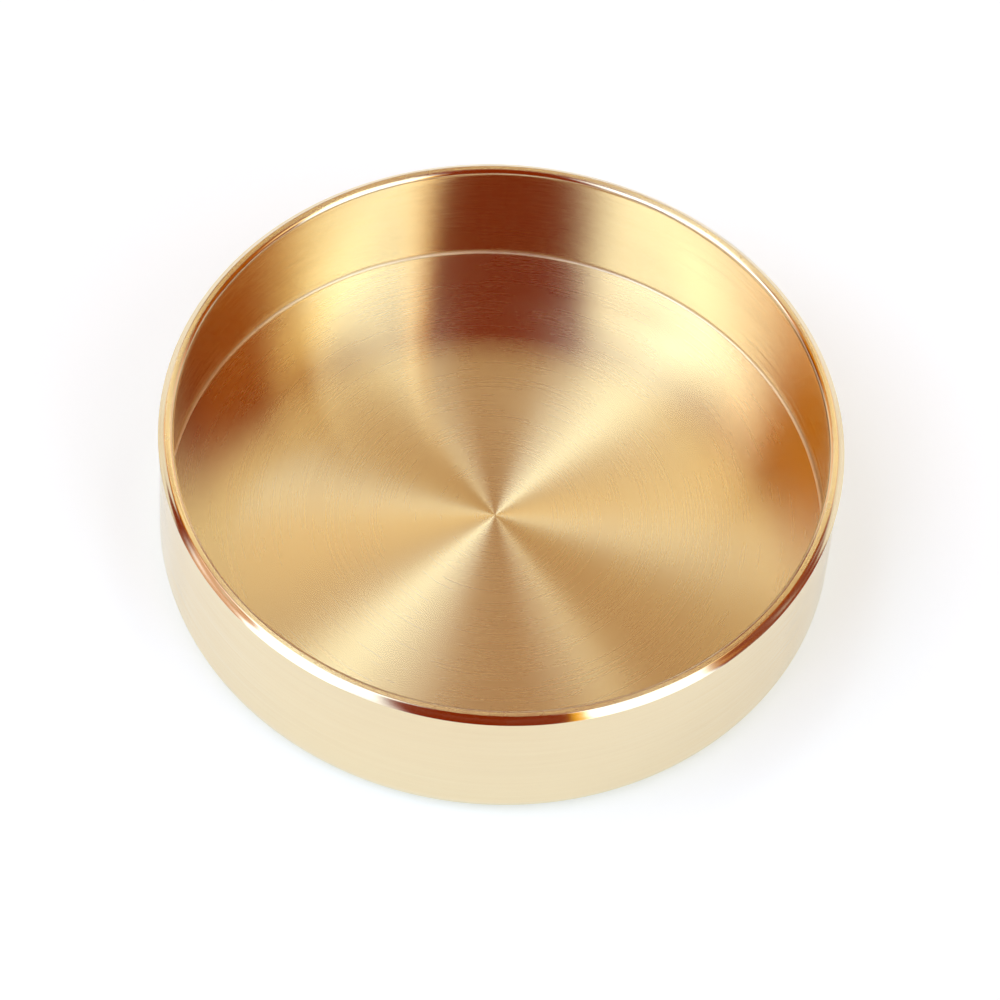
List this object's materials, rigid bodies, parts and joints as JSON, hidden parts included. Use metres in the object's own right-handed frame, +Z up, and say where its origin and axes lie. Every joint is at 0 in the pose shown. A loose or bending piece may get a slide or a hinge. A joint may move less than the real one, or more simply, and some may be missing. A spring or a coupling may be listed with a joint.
{
  "type": "round tray",
  "caption": "Shallow round brass tray with a thin straight wall, a round polished bead as its lip, a flat circular-brushed floor and a foot ring underneath.",
  "frame": {"origin": "middle of the underside, on the plane that the tray stands on", "axes": "+Z up along the tray's axis of turning, out of its mouth; X and Y are alike"},
  "size_m": [0.1396, 0.1396, 0.0351],
  "materials": {
    "satin_brass": "fine turned satin inside and out, with the beaded lip polished bright",
    "brushed_brass": "circular brushed about the middle, which gives a sunburst of light and dark sectors",
    "seam_metal": "smooth bright fillet of brazing metal"
  },
  "bodies": {
    "root": {"wall_ring": "satin_brass", "floor_plate": "brushed_brass", "solder_seam": "seam_metal"}
  },
  "joints": []
}
